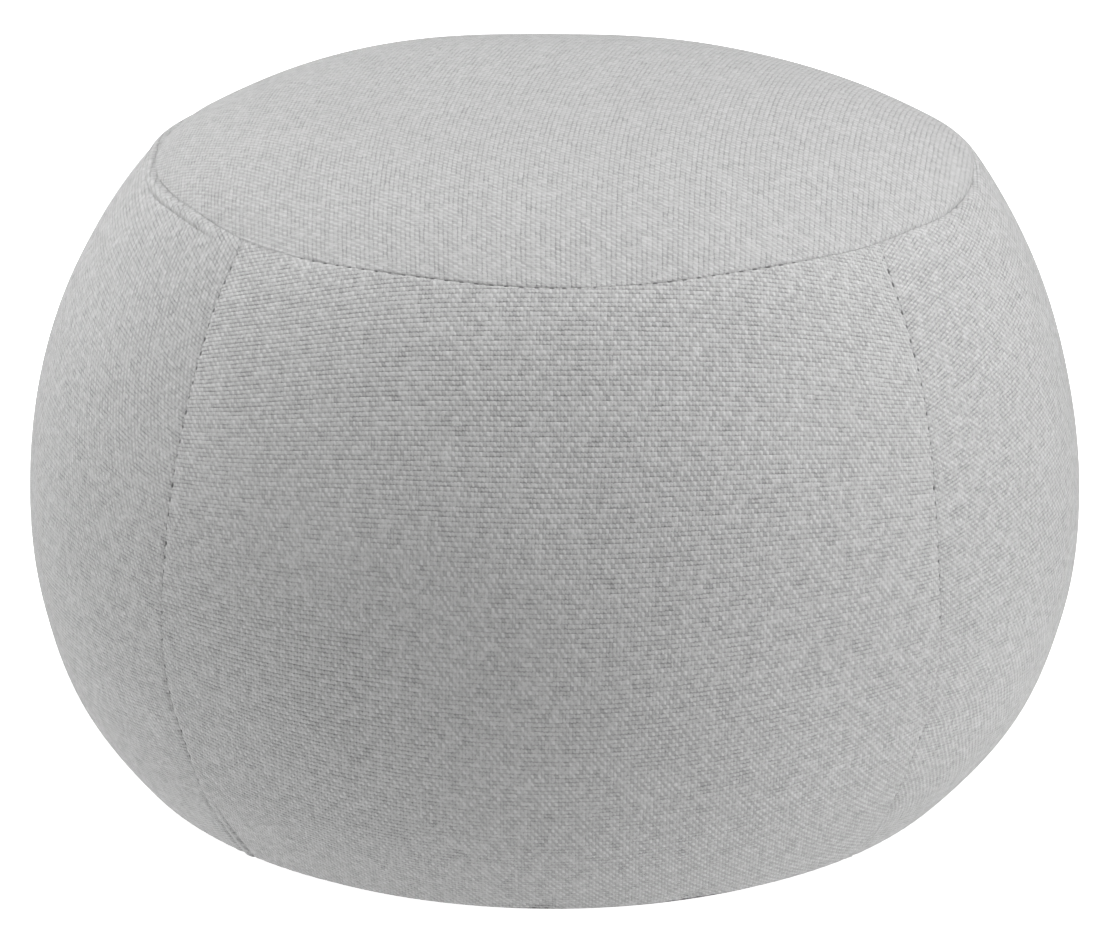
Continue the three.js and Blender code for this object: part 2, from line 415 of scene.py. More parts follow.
# Heights close together along the sides' section, and their distance along it from the foot
PROFILE_HEIGHTS = np.linspace(FOOT_HEIGHT, SEAM_HEIGHT, PROFILE_STEPS)
PROFILE_DISTANCES = summed_steps(PROFILE_HEIGHTS, side_radius(PROFILE_HEIGHTS))
SIDE_LENGTH = PROFILE_DISTANCES[-1]
SIDE_ROWS = int(SIDE_LENGTH / CLOTH_STEP)
SIDE_COLUMNS = int(math.pi / 2 * RIM_RADIUS * WIDEST_SHARE / CLOTH_STEP)


def turn_between(angle, degrees):
    """How many degrees lie between angles and one direction."""
    return np.abs((np.degrees(angle) - degrees + 180) % 360 - 180)


def top_seam_height(angle):
    height = SEAM_HEIGHT - SEAM_WAVE * np.cos(SEAM_WAVE_COUNT * angle)
    for middle, half, rise in SEAM_SWAYS:
        height = height + rise * np.exp(-(turn_between(angle, middle) / half) ** 2)
    return height


def swayed_height(level, top):
    """The height of a level of the sides where the seam above it lies at top."""
    rise = (level - FOOT_HEIGHT) / (SEAM_HEIGHT - FOOT_HEIGHT)
    return FOOT_HEIGHT + (top - FOOT_HEIGHT) * rise


def ring_points(angle, radius, middle, height):
    return np.stack((middle + radius * np.sin(angle), -radius * np.cos(angle), height), -1)


def outward(points, lean):
    """The direction away from the middle of the pouf: level low down, slanting up towards the top seam."""
    target = np.stack((lean, np.zeros_like(lean), np.minimum(points[..., 2], DRAW_HEIGHT)), -1)
    away = points - target
    return away / np.linalg.norm(away, axis=-1, keepdims=True)


def unevenness(points):
    metres = points * MM
    total = np.zeros(points.shape[:-1])
    for height, along_x, along_y, along_z, phase in UNEVENNESS:
        turn = metres @ np.array((along_x, along_y, along_z)) * math.tau + phase
        total += height * np.sin(turn)
    return total


# Relief beside the seams
def stitch_pulse(along):
    """1 in the middle of each stitch along a seam, 0 between stitches."""
    from_stitch = np.abs((along / STITCH_PITCH + 0.5) % 1 - 0.5) * STITCH_PITCH
    return np.exp(-(from_stitch / (STITCH_LENGTH / 2)) ** 4)


def seam_fold(distance, along, crease, show):
    """Height of the cloth near a seam: crease, stitch pits and puckers."""
    fold = -crease * np.exp(-(distance / CREASE_WIDTH) ** 2)
    pits = -PIT_DEPTH * np.exp(-(distance / PIT_WIDTH) ** 2) * stitch_pulse(along)
    puckers = -PUCKER_HEIGHT * np.cos(math.tau * along / STITCH_PITCH)
    puckers = puckers * np.exp(-distance / PUCKER_REACH)
    puckers = puckers * smooth_step(0, CREASE_WIDTH * PUCKER_START, distance)
    return fold + (pits + puckers) * show


def top_seam_look(angle):
    """How far the top seam stands open at angles, and how far its stitches show there."""
    degrees = (np.degrees(angle) + 180) % 360 - 180
    turns, openness, stitches = TOP_SEAM_LOOK.T
    return np.interp(degrees, turns, openness), np.interp(degrees, turns, stitches)


def top_dip(angle, distance, in_top):
    """Depth to which the cloth is drawn down beside the top seam, on the stretches where it dips."""
    start, stop = DIP_FADE
    total = np.zeros_like(angle)
    for middle, half, depth, reach in TOP_DIPS:
        share = 1 - smooth_step(half * start, half * stop, turn_between(angle, middle))
        total += depth * share * (1 - smooth_step(0, reach if in_top else DIP_EDGE, distance))
    return total


def upright_show(seam, height):
    """How far an upright seam shows at a height, which comes and goes along it."""
    waves = np.cos(math.tau * height / SHOW_WAVE) * np.cos(math.tau * height / SHOW_SECOND_WAVE)
    uneven = 1 - SHOW_UNEVEN * (0.5 + 0.5 * waves)
    return np.interp(height, UPRIGHT_SHOW[:, 0], UPRIGHT_SHOW[:, SEAM_COLUMNS[seam]]) * uneven


def upright_fold(seam, height):
    """Depth of the soft fold along the low part of an upright seam."""
    middle, half, depth = UPRIGHT_FOLDS[seam]
    return depth * np.exp(-((height - middle) / half) ** 2)


def foot_share(seam, from_foot):
    """How much of the deeper fold at the foot an upright seam has, at distances from the foot."""
    return FOOT_FOLD_SHARE[seam] * (1 - smooth_step(*FOOT_FOLD_FADE, from_foot))


def allowance_ridge(distance):
    """Height of the cloth over the seam allowance that lies behind it, and of the line along its edge."""
    rise = smooth_step(CREASE_WIDTH, CREASE_WIDTH * ALLOWANCE_RISE, distance)
    fall = 1 - smooth_step(ALLOWANCE_WIDTH - ALLOWANCE_SLOPE, ALLOWANCE_WIDTH + ALLOWANCE_SLOPE, distance)
    line = np.exp(-((distance - ALLOWANCE_WIDTH) / ALLOWANCE_LINE_WIDTH) ** 2)
    return ALLOWANCE_HEIGHT * rise * fall - ALLOWANCE_LINE * line


def foot_puckers(angle, distance):
    total = np.zeros_like(angle)
    for middle, half, depth in FOOT_PUCKERS:
        along = (angle - math.radians(middle)) * SIDE_SECTIONS[0, 1] / half
        up = (distance - FOOT_PUCKER_RISE) / FOOT_PUCKER_WIDTH
        total -= depth * np.exp(-along ** 2 - up ** 2)
    return total


# Meshes
def new_object(name, data):
    made = bpy.data.objects.new(name, data)
    bpy.context.scene.collection.objects.link(made)
    return made


def new_mesh(name, points, faces):
    mesh = bpy.data.meshes.new(name)
    mesh.from_pydata((points * MM).tolist(), [], faces)
    return mesh


def add_corner_map(mesh, name, places):
    """A map of the mesh with one place for each corner of its faces."""
    layer = mesh.uv_layers.new(name=name)
    layer.uv.foreach_set("vector", places.astype(np.float32).ravel())


def add_map(mesh, name, places):
    """A map of the mesh with one place for each of its points."""
    corners = np.zeros(len(mesh.loops), np.int32)
    mesh.loops.foreach_get("vertex_index", corners)
    add_corner_map(mesh, name, places[corners])


def make_piece(name, points, cloth_quads, hidden_faces, weave_map, bake_map, hidden_map, material):
    """A closed mesh of smooth cloth faces and flat hidden ones, with its weave map and its bake map."""
    faces = cloth_quads.tolist() + hidden_faces
    mesh = new_mesh(name, points, faces)
    smooth = np.zeros(len(faces), bool)
    smooth[:len(cloth_quads)] = True
    mesh.polygons.foreach_set("use_smooth", smooth)
    corners = cloth_quads.ravel()
    hidden_weave = np.zeros((len(hidden_map), 2))
    add_corner_map(mesh, "Weave", np.concatenate((weave_map[corners] * MM, hidden_weave)))
    add_corner_map(mesh, "OFBake", np.concatenate((bake_map[corners], hidden_map)))
    mesh.materials.append(material)
    mesh.validate()
    return new_object(name, mesh)


# Simulated swell
def held_sheet(name, points):
    """A sheet of cloth whose edge is held, ready to be blown up."""
    rows, columns = points.shape[:2]
    mesh = new_mesh(name, points.reshape(-1, 3), grid_quads(rows, columns).tolist())
    sheet = new_object(name, mesh)
    held = np.ones((rows, columns), bool)
    held[1:-1, 1:-1] = False
    seam = sheet.vertex_groups.new(name="seam")
    seam.add(np.flatnonzero(held).tolist(), 1.0, "REPLACE")
    modifier = sheet.modifiers.new("swell", "CLOTH")
    settings = modifier.settings
    settings.vertex_group_mass = "seam"
    settings.tension_stiffness = CLOTH_STIFFNESS
    settings.compression_stiffness = CLOTH_STIFFNESS
    settings.shear_stiffness = CLOTH_STIFFNESS
    settings.bending_stiffness = CLOTH_BENDING
    settings.use_pressure = True
    settings.uniform_pressure_force = SWELL_PRESSURE
    settings.effector_weights.gravity = 0
    modifier.collision_settings.use_collision = False
    modifier.point_cache.frame_start = 1
    modifier.point_cache.frame_end = SWELL_FRAMES
    return sheet


def simulated_swell(name, points, directions):
    """Blows up a sheet of cloth whose edge is held at its seams. Returns 0 at the seams to 1 where it moved
    out as far as it may."""
    sheet = held_sheet(name, points)
    mesh = sheet.data
    for number in range(1, SWELL_FRAMES + 1):
        bpy.context.scene.frame_set(number)
    blown = sheet.evaluated_get(bpy.context.evaluated_depsgraph_get())
    moved = np.zeros(points.size, np.float32)
    blown.data.vertices.foreach_get("co", moved)
    bpy.context.scene.frame_set(1)
    bpy.data.objects.remove(sheet)
    bpy.data.meshes.remove(mesh)
    travel = moved.reshape(points.shape) / MM - points
    out = np.sum(travel * directions, -1)
    return np.tanh(np.maximum(out, 0) / SWELL)


def swell_of(name, points, directions):
    return simulated_swell(name, points - directions * SWELL, directions)


# The side panels
SideSurface = namedtuple("SideSurface", "points away angles shares widths levels distances")


def side_surface(begin, end, distances, shares_of):
    """A side panel before its relief, on rows at distances from the foot. shares_of gives a row's places from
    seam to seam for its width."""
    levels = np.interp(distances, PROFILE_DISTANCES, PROFILE_HEIGHTS)
    radii = side_radius(levels)
    gap = SEAM_GAP / 2 / radii
    first = np.radians(begin(levels)) + gap
    last = np.radians(end(levels)) - gap
    widths = (last - first) * radii
    shares = np.stack([shares_of(width) for width in widths])
    angles = first[:, None] + (last - first)[:, None] * shares
    heights = swayed_height(levels[:, None], top_seam_height(angles) - SEAM_GAP / 2)
    lean = np.broadcast_to(side_lean(levels)[:, None], angles.shape)
    points = ring_points(angles, radii[:, None], lean, heights)
    return SideSurface(points, outward(points, lean), angles, shares, widths, levels, distances)


def side_lift(name, begin, end, surface):
    """The swell of a side panel, from 0 at its seams to 1, read at the points of its surface."""
    knots = np.linspace(0, 1, SWELL_CELLS + 1)
    coarse = side_surface(begin, end, knots * SIDE_LENGTH, lambda width: knots)
    swell = swell_of(name + "_swell", coarse.points, coarse.away)
    by_row = smooth_curve(surface.distances / SIDE_LENGTH, knots, swell)
    return np.stack([smooth_curve(shares, knots, row) for shares, row in zip(surface.shares, by_row)])


def swell_relief(side, surface, lift):
    """How far the swell makes the cloth stand out, fuller below the top seam."""
    from_foot = surface.distances[:, None]
    near_top = 1 - smooth_step(*BULGE_FADE, SIDE_LENGTH - from_foot)
    near_foot = 1 - smooth_step(*BULGE_FADE, from_foot)
    draw = UPRIGHT_DRAW + (TOP_DRAW - UPRIGHT_DRAW) * near_top + (FOOT_DRAW - UPRIGHT_DRAW) * near_foot
    return draw * (lift - 1) + TOP_BULGE[side] * near_top * lift


def seam_relief(side, seams, surface):
    """How far the cloth stands out beside the four seams of a side panel."""
    angles = surface.angles
    from_begin = surface.shares * surface.widths[:, None]
    from_end = (1 - surface.shares) * surface.widths[:, None]
    from_upright = np.minimum(from_begin, from_end)
    from_foot = np.broadcast_to(surface.distances[:, None], angles.shape)
    from_top = SIDE_LENGTH - from_foot
    heights = surface.points[..., 2]

    def nearer(quantity, places):
        return np.where(from_begin < from_end, quantity(seams[0], places), quantity(seams[1], places))

    # Upright seams
    show = nearer(upright_show, heights)
    low_share = nearer(foot_share, from_foot)
    soft_fold = nearer(upright_fold, heights)
    stand = seam_fold(from_upright, from_foot, UPRIGHT_CREASE * show, show)
    stand -= (FOOT_FOLD * low_share + soft_fold) * np.exp(-(from_upright / FOOT_FOLD_WIDTH) ** 2)
    ridge = UPRIGHT_ALLOWANCE + (FOOT_ALLOWANCE - UPRIGHT_ALLOWANCE) * low_share
    stand += allowance_ridge(from_upright) * ridge * BESIDE_SHARE[side]

    # Round seams
    along = angles * RIM_RADIUS
    openness, stitches = top_seam_look(angles)
    stand += seam_fold(from_top, along, TOP_CREASE * openness, TOP_SHOW * stitches)
    stand -= top_dip(angles, from_top, in_top=False)
    ridge = TOP_ALLOWANCE[side] * smooth_step(*RIDGE_START, from_upright)
    stand += allowance_ridge(from_top) * ridge
    stand += seam_fold(from_foot, along, FOOT_CREASE, FOOT_SHOW)
    stand += foot_puckers(angles, from_foot)
    return stand


def side_closing(rows, columns):
    """Hidden faces between the edges of a side panel and its corners at the axis, and their bake map."""
    edge = np.arange(rows * columns).reshape(rows, columns).tolist()
    corner = list(range(rows * columns, rows * columns + rows))
    faces = []
    places = []
    for row in range(rows - 1):
        low = row / rows
        high = (row + 1) / rows
        inner, outer = BEGIN_STRIP
        faces.append([corner[row], edge[row][0], edge[row + 1][0], corner[row + 1]])
        places += [(low, inner), (low, outer), (high, outer), (high, inner)]
        inner, outer = END_STRIP
        faces.append([corner[row], corner[row + 1], edge[row + 1][-1], edge[row][-1]])
        places += [(low, inner), (high, inner), (high, outer), (low, outer)]
    for column in range(columns - 1):
        low = column / columns
        high = (column + 1) / columns
        inner, outer = FOOT_STRIP
        faces.append([corner[0], edge[0][column + 1], edge[0][column]])
        places += [(low, inner), (high, outer), (low, outer)]
        inner, outer = TOP_STRIP
        faces.append([corner[-1], edge[-1][column], edge[-1][column + 1]])
        places += [(low, inner), (low, outer), (high, outer)]
    return faces, places


def side_maps(surface):
    """Places in the weave, whose rows are straight in the flat panel, and in the bake map."""
    across = (surface.shares - 0.5) * surface.widths[:, None]
    from_foot = np.broadcast_to(surface.distances[:, None], across.shape)
    radii = side_radius(surface.levels)
    widening = np.gradient(radii, surface.distances) / radii
    weave_rows = from_foot - widening[:, None] * across ** 2 / 2
    bake_across = 0.5 + across / surface.widths.max() * BAKE_WIDTH
    bake_up = BAKE_FOOT + from_foot / SIDE_LENGTH * BAKE_HEIGHT
    weave = np.stack((across, weave_rows), -1).reshape(-1, 2)
    bake = np.stack((bake_across, bake_up), -1).reshape(-1, 2)
    return weave, bake


def side_panel(name, side, begin, end, seams, material):
    """One side panel with the filling behind it, as far in as the axis."""
    distances = spaced(SIDE_LENGTH, SIDE_ROWS)
    surface = side_surface(begin, end, distances, lambda width: spaced(width, SIDE_COLUMNS) / width)
    lift = side_lift(name, begin, end, surface)
    stand = swell_relief(side, surface, lift) + seam_relief(side, seams, surface) + unevenness(surface.points)
    raised = surface.points + surface.away * stand[..., None]
    grid = surface.shares.shape

    # The corner of each row at the axis closes the solid
    middle_angles = (surface.angles[:, 0] + surface.angles[:, -1]) / 2
    corner_radii = np.full(len(middle_angles), AXIS_CLEARANCE)
    corner_lean = side_lean(surface.points[:, 0, 2])
    corners = ring_points(middle_angles, corner_radii, corner_lean, raised[:, 0, 2])
    hidden, hidden_map = side_closing(*grid)
    weave, bake = side_maps(surface)
    points = np.concatenate((raised.reshape(-1, 3), corners))
    return make_piece(name, points, grid_quads(*grid), hidden, weave, bake, hidden_map, material)


# The top panel
def crown_height(share):
    return SEAM_HEIGHT + SEAM_GAP / 2 + CROWN_RISE * (1 - share ** CROWN_POWER)


# Shares of the rim's radius, and the distance along the crown from its middle to each
CROWN_SHARES = np.linspace(0, 1, PROFILE_STEPS)
CROWN_DISTANCES = summed_steps(CROWN_SHARES * RIM_RADIUS, crown_height(CROWN_SHARES))
CROWN_LENGTH = CROWN_DISTANCES[-1]


def disc_of(places):
    """Radius and angle on a disc for a square grid of places from -1 to 1, ring by ring."""
    across, up = np.meshgrid(places, places)
    share = np.maximum(np.abs(across), np.abs(up))
    flat = np.abs(across) >= np.abs(up)
    with np.errstate(divide="ignore", invalid="ignore"):
        turn = np.where(flat, up / across, across / up) * math.pi / 4
    turn = np.nan_to_num(turn)
    x = np.where(flat, across * np.cos(turn), up * np.sin(turn))
    y = np.where(flat, across * np.sin(turn), up * np.cos(turn))
    return share, np.arctan2(x, -y)


def crown_surface(places):
    """Points of the top panel before its relief, on a square grid laid out as a disc."""
    distance_share, angles = disc_of(places)
    distances = distance_share * CROWN_LENGTH
    share = np.interp(distances, CROWN_DISTANCES, CROWN_SHARES)
    middle = CROWN_SHIFT + (RIM_LEAN - CROWN_SHIFT) * share ** SHIFT_FADE
    height = crown_height(share) + (top_seam_height(angles) - SEAM_HEIGHT) * share ** WAVE_FADE
    points = ring_points(angles, RIM_RADIUS * share, middle, height)
    return points, outward(points, np.full(share.shape, RIM_LEAN)), angles, distances


def top_lift(name, places):
    """The swell of the top panel, from 0 at its seam to 1, read on a finer grid of places."""
    knots = np.linspace(-1, 1, SWELL_CELLS + 1)
    points, away = crown_surface(knots)[:2]
    swell = swell_of(name + "_swell", points, away)
    by_row = smooth_curve(places, knots, swell)
    return smooth_curve(places, knots, by_row.T).T


def top_closing(count, rim):
    """Hidden faces from the rim to the middle of the underside, and their bake map."""
    middle = count * count
    faces = [[middle, int(after), int(before)] for before, after in zip(rim, np.roll(rim, -1))]
    turns = np.linspace(0, math.tau, len(rim) + 1)
    ring = UNDERSIDE_MIDDLE + UNDERSIDE_RADIUS * np.stack((np.cos(turns), np.sin(turns)), -1)
    centre = np.full((len(rim), 2), UNDERSIDE_MIDDLE)
    return faces, np.stack((centre, ring[1:], ring[:-1]), 1).reshape(-1, 2)


def top_maps(angles, distances):
    """Places in the weave, turned by the panel's grain, and in the bake map."""
    x = distances * np.sin(angles)
    y = -distances * np.cos(angles)
    along_rows = x * math.sin(TOP_GRAIN) + y * math.cos(TOP_GRAIN)
    across_rows = x * math.cos(TOP_GRAIN) - y * math.sin(TOP_GRAIN)
    weave = np.stack((along_rows, across_rows), -1).reshape(-1, 2)
    bake = 0.5 + (np.stack((x, y), -1) / CROWN_LENGTH * TOP_BAKE_RADIUS).reshape(-1, 2)
    return weave, bake


def top_panel(name, material):
    """The top panel with the filling behind it, down to a flat underside."""
    places = spaced(2 * CROWN_LENGTH, TOP_CELLS) / CROWN_LENGTH - 1
    points, away, angles, distances = crown_surface(places)
    from_seam = CROWN_LENGTH - distances
    openness, stitches = top_seam_look(angles)
    stand = TOP_DRAW * (top_lift(name, places) - 1)
    stand += seam_fold(from_seam, angles * RIM_RADIUS, TOP_CREASE * openness, TOP_SHOW * stitches)
    stand -= top_dip(angles, from_seam, in_top=True)
    stand += unevenness(points)
    raised = (points + away * stand[..., None]).reshape(-1, 3)

    # A flat underside closes the solid
    count = len(places)
    index = np.arange(count * count).reshape(count, count)
    rim = np.concatenate((index[0, :-1], index[:-1, -1], index[-1, :0:-1], index[:0:-1, 0]))
    underside = np.array(((RIM_LEAN, 0.0, raised[rim][:, 2].mean()),))
    hidden, hidden_map = top_closing(count, rim)
    weave, bake = top_maps(angles, distances)
    points = np.concatenate((raised, underside))
    return make_piece(name, points, grid_quads(count, count), hidden, weave, bake, hidden_map, material)


# The base panel
def base_panel(name, material):
    """A flat disc with a rounded rim, as large as the solid."""
    low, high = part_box("base_panel")
    middle = (low.x + high.x) / 2 / MM
    radius = (high.x - low.x) / 2 / MM
    rings = ((radius - BASE_EDGE, 0.0), (radius, BASE_EDGE), (radius, BASE_THICKNESS - BASE_EDGE),
             (radius - BASE_EDGE, BASE_THICKNESS))
    count = BASE_SIDES
    angles = np.arange(count) * math.tau / count
    points = [ring_points(angles, np.full(count, r), middle, np.full(count, z)) for r, z in rings]
    points.append(np.array(((middle, 0.0, 0.0), (middle, 0.0, BASE_THICKNESS))))
    points = np.concatenate(points)
    under = len(points) - 2
    over = len(points) - 1
    top_ring = (len(rings) - 1) * count
    faces = []
    for i in range(count):
        j = (i + 1) % count
        faces.append([under, j, i])
        for ring in range(0, top_ring, count):
            faces.append([ring + i, ring + j, ring + count + j, ring + count + i])
        faces.append([over, top_ring + i, top_ring + j])
    mesh = new_mesh(name, points, faces)
    add_map(mesh, "Weave", points[:, :2] * MM)
    mesh.materials.append(material)
    return new_object(name, mesh)


# Stitches
def thread_faces(count):
    """Faces of one stitch of count points: its sides ring by ring, and its two ends."""
    faces = []
    for low in range(0, count - THREAD_SIDES, THREAD_SIDES):
        high = low + THREAD_SIDES
        for side in range(THREAD_SIDES):
            after = (side + 1) % THREAD_SIDES
            faces.append([low + side, low + after, high + after, high + side])
    faces.append(list(range(THREAD_SIDES))[::-1])
    faces.append(list(range(count - THREAD_SIDES, count)))
    return faces


def thread_mesh_parts(centres, alongs, outs):
    """Points and faces of short arched threads, each with its middle at a centre."""
    shares = np.linspace(-1, 1, THREAD_RINGS)
    turns = np.arange(THREAD_SIDES) * math.tau / THREAD_SIDES
    sides = np.cross(alongs, outs)
    reach = shares * STITCH_LENGTH / 2
    arch = THREAD_RADIUS * (THREAD_ARCH - THREAD_DIVE * shares ** 2)
    radius = THREAD_RADIUS * np.sqrt(np.maximum(1 - shares ** 4, THREAD_END))
    spine = centres[:, None] + alongs[:, None] * reach[None, :, None] + outs[:, None] * arch[None, :, None]
    ring = (sides[:, None, None] * np.cos(turns)[None, None, :, None]
            + outs[:, None, None] * np.sin(turns)[None, None, :, None])
    points = spine[:, :, None] + ring * radius[None, :, None, None]
    count = THREAD_RINGS * THREAD_SIDES
    pattern = thread_faces(count)
    faces = [[number * count + i for i in face] for number in range(len(centres)) for face in pattern]
    return points.reshape(-1, 3), faces


def seam_stitches(path, length):
    """Centres and directions of the stitches on a seam. path gives points and outward directions on it."""
    along = np.arange(0, length, STITCH_PITCH)
    centres, outs = path(along)
    ahead = path(along + STITCH_LOOK)[0] - path(along - STITCH_LOOK)[0]
    ahead /= np.linalg.norm(ahead, axis=-1, keepdims=True)
    return centres, ahead, outs


def sunk(points, lean, depth):
    """Points of a seam at a depth below the uneven cloth, and the outward directions there."""
    outs = outward(points, lean)
    return points - outs * (depth - unevenness(points))[:, None], outs


def top_seam_path(along):
    angles = along / RIM_RADIUS
    lean = np.full(along.shape, RIM_LEAN)
    points = ring_points(angles, np.full(along.shape, RIM_RADIUS), lean, top_seam_height(angles))
    openness, stitches = top_seam_look(angles)
    depth = TOP_DRAW + TOP_CREASE * openness + PIT_DEPTH * TOP_SHOW * stitches
    depth += THREAD_SINK * (1 - stitches) + top_dip(angles, 0.0, in_top=True)
    return sunk(points, lean, depth)


def foot_seam_path(along):
    angles = along / RIM_RADIUS
    heights = np.full(along.shape, FOOT_HEIGHT)
    lean = side_lean(heights)
    points = ring_points(angles, side_radius(heights), lean, heights)
    return sunk(points, lean, FOOT_DRAW + FOOT_CREASE + PIT_DEPTH * FOOT_SHOW + THREAD_SINK)


def upright_seam_path(seam, kind):
    def path(along):
        levels = np.interp(along, PROFILE_DISTANCES, PROFILE_HEIGHTS)
        angles = np.radians(seam(levels))
        heights = swayed_height(levels, top_seam_height(angles))
        lean = side_lean(levels)
        points = ring_points(angles, side_radius(levels), lean, heights)
        show = upright_show(kind, heights)
        depth = UPRIGHT_DRAW + (UPRIGHT_CREASE + PIT_DEPTH) * show + THREAD_SINK * (1 - show)
        depth += FOOT_FOLD * foot_share(kind, along) + upright_fold(kind, heights)
        return sunk(points, lean, depth)
    return path


def stitching(name, material):
    """The stitches of all the seams, as one mesh."""
    round_length = math.tau * RIM_RADIUS
    parts = [seam_stitches(top_seam_path, round_length), seam_stitches(foot_seam_path, round_length)]
    for _, begin, _, seams in SIDE_PANELS:
        parts.append(seam_stitches(upright_seam_path(begin, seams[0]), SIDE_LENGTH - STITCH_END))
    centres, alongs, outs = (np.concatenate(group) for group in zip(*parts))
    points, faces = thread_mesh_parts(centres, alongs, outs)
    mesh = new_mesh(name, points, faces)
    mesh.polygons.foreach_set("use_smooth", np.ones(len(faces), bool))
    along, around = np.meshgrid(
        np.arange(THREAD_RINGS) / (THREAD_RINGS - 1), np.arange(THREAD_SIDES) / THREAD_SIDES, indexing="ij")
    place = np.tile(np.stack((around.ravel(), along.ravel()), -1), (len(centres), 1))
    add_map(mesh, "Weave", place * (math.tau * THREAD_RADIUS * MM, STITCH_LENGTH * MM))
    add_map(mesh, "OFBake", place)
    mesh.materials.append(material)
    return new_object(name, mesh)


# Materials
class NodeMaker:
    """Adds nodes to a material or the world, each fed with numbers or with the outputs of earlier nodes."""

    def __init__(self, owner):
        self.tree = owner.node_tree

    def feed(self, socket, value):
        if isinstance(value, bpy.types.NodeSocket):
            self.tree.links.new(value, socket)
        else:
            socket.default_value = value

    def node(self, kind, *values, operation=None):
        """A new node whose first sockets are fed with values."""
        node = self.tree.nodes.new("ShaderNode" + kind)
        if operation:
            node.operation = operation
        for socket, value in zip(node.inputs, values):
            self.feed(socket, value)
        return node

    def maths(self, operation, *values):
        return self.node("Math", *values, operation=operation).outputs[0]

    def vector(self, x, y, z):
        return self.node("CombineXYZ", x, y, z).outputs[0]

    def split(self, vector):
        return self.node("SeparateXYZ", vector).outputs[:2]

    def noise(self, vector, scale=1.0, detail=1.0):
        node = self.node("TexNoise", vector)
        node.inputs["Scale"].default_value = scale
        node.inputs["Detail"].default_value = detail
        return node.outputs[0]

    def map_named(self, name):
        node = self.node("UVMap")
        node.uv_map = name
        return node.outputs[0]

    def bump(self, height, distance):
        node = self.node("Bump")
        node.inputs["Strength"].default_value = 1.0
        node.inputs["Distance"].default_value = distance
        self.feed(node.inputs["Height"], height)
        return node.outputs[0]


def plain_material(name, grey):
    material = bpy.data.materials.new(name)
    material.use_nodes = True
    shader = material.node_tree.nodes["Principled BSDF"]
    shader.inputs["Base Color"].default_value = (grey, grey, grey, 1)
    shader.inputs["Roughness"].default_value = PLAIN_ROUGHNESS
    shader.inputs["Specular IOR Level"].default_value = SPECULAR
    return material


ThreadSet = namedtuple("ThreadSet", "line number share yarn")


def thread_set(make, own, along, pitch, stride, layers, across_first):
    """One set of threads: the place counted in threads, the number of the thread there, the place across it
    from -0.5 to 0.5, and its thick and thin lengths."""
    def spot(own_place, along_place, layer):
        pair = (own_place, along_place) if across_first else (along_place, own_place)
        return make.vector(*pair, layer)

    wander_layer, yarn_layer = layers
    wander_own = make.maths("DIVIDE", own, WANDER_WIDTH * MM)
    wander_along = make.maths("DIVIDE", along, WANDER_LENGTH * MM)
    wander = make.maths("SUBTRACT", make.noise(spot(wander_own, wander_along, wander_layer)), 0.5)
    wander = make.maths("MULTIPLY", wander, THREAD_WANDER * MM)
    line = make.maths("DIVIDE", make.maths("ADD", own, wander), pitch * MM)
    number = make.maths("FLOOR", line)
    share = make.maths("SUBTRACT", make.maths("FRACT", line), 0.5)
    yarn_own = make.maths("MULTIPLY", number, stride)
    yarn_along = make.maths("DIVIDE", along, SLUB * MM)
    return ThreadSet(line, number, share, make.noise(spot(yarn_own, yarn_along, yarn_layer)))


def leaning(make, own, other):
    """The place across a thread, which leans with its twist."""
    return make.maths("MULTIPLY_ADD", other.share, TWIST, own.share)


def thread_top(make, own, other, half, thickness, sign):
    """Height of threads that are round across and go over and under the ones that they cross."""
    off = make.maths("POWER", make.maths("DIVIDE", leaning(make, own, other), half), 2.0)
    section = make.maths("MAXIMUM", make.maths("SUBTRACT", 1.0, off), 0.0)
    side = make.maths("MULTIPLY_ADD", make.maths("FLOORED_MODULO", own.number, 2.0), -2.0 * sign, sign)
    lift = make.maths("MULTIPLY", side, make.maths("SINE", make.maths("MULTIPLY", other.line, math.pi)))
    return make.maths("MULTIPLY_ADD", lift, LIFT, make.maths("MULTIPLY", section, thickness))


def thread_gap(make, own, other):
    """0 on a thread to 1 in the gap beside it, which is wider where the yarn is thin."""
    half = make.maths("MULTIPLY_ADD", own.yarn, YARN_THICKNESS, GAP_HALF - YARN_THICKNESS / 2)
    past = make.maths("SUBTRACT", make.maths("ABSOLUTE", leaning(make, own, other)), half)
    return make.node("Clamp", make.maths("MULTIPLY", past, GAP_SHARPNESS)).outputs[0]


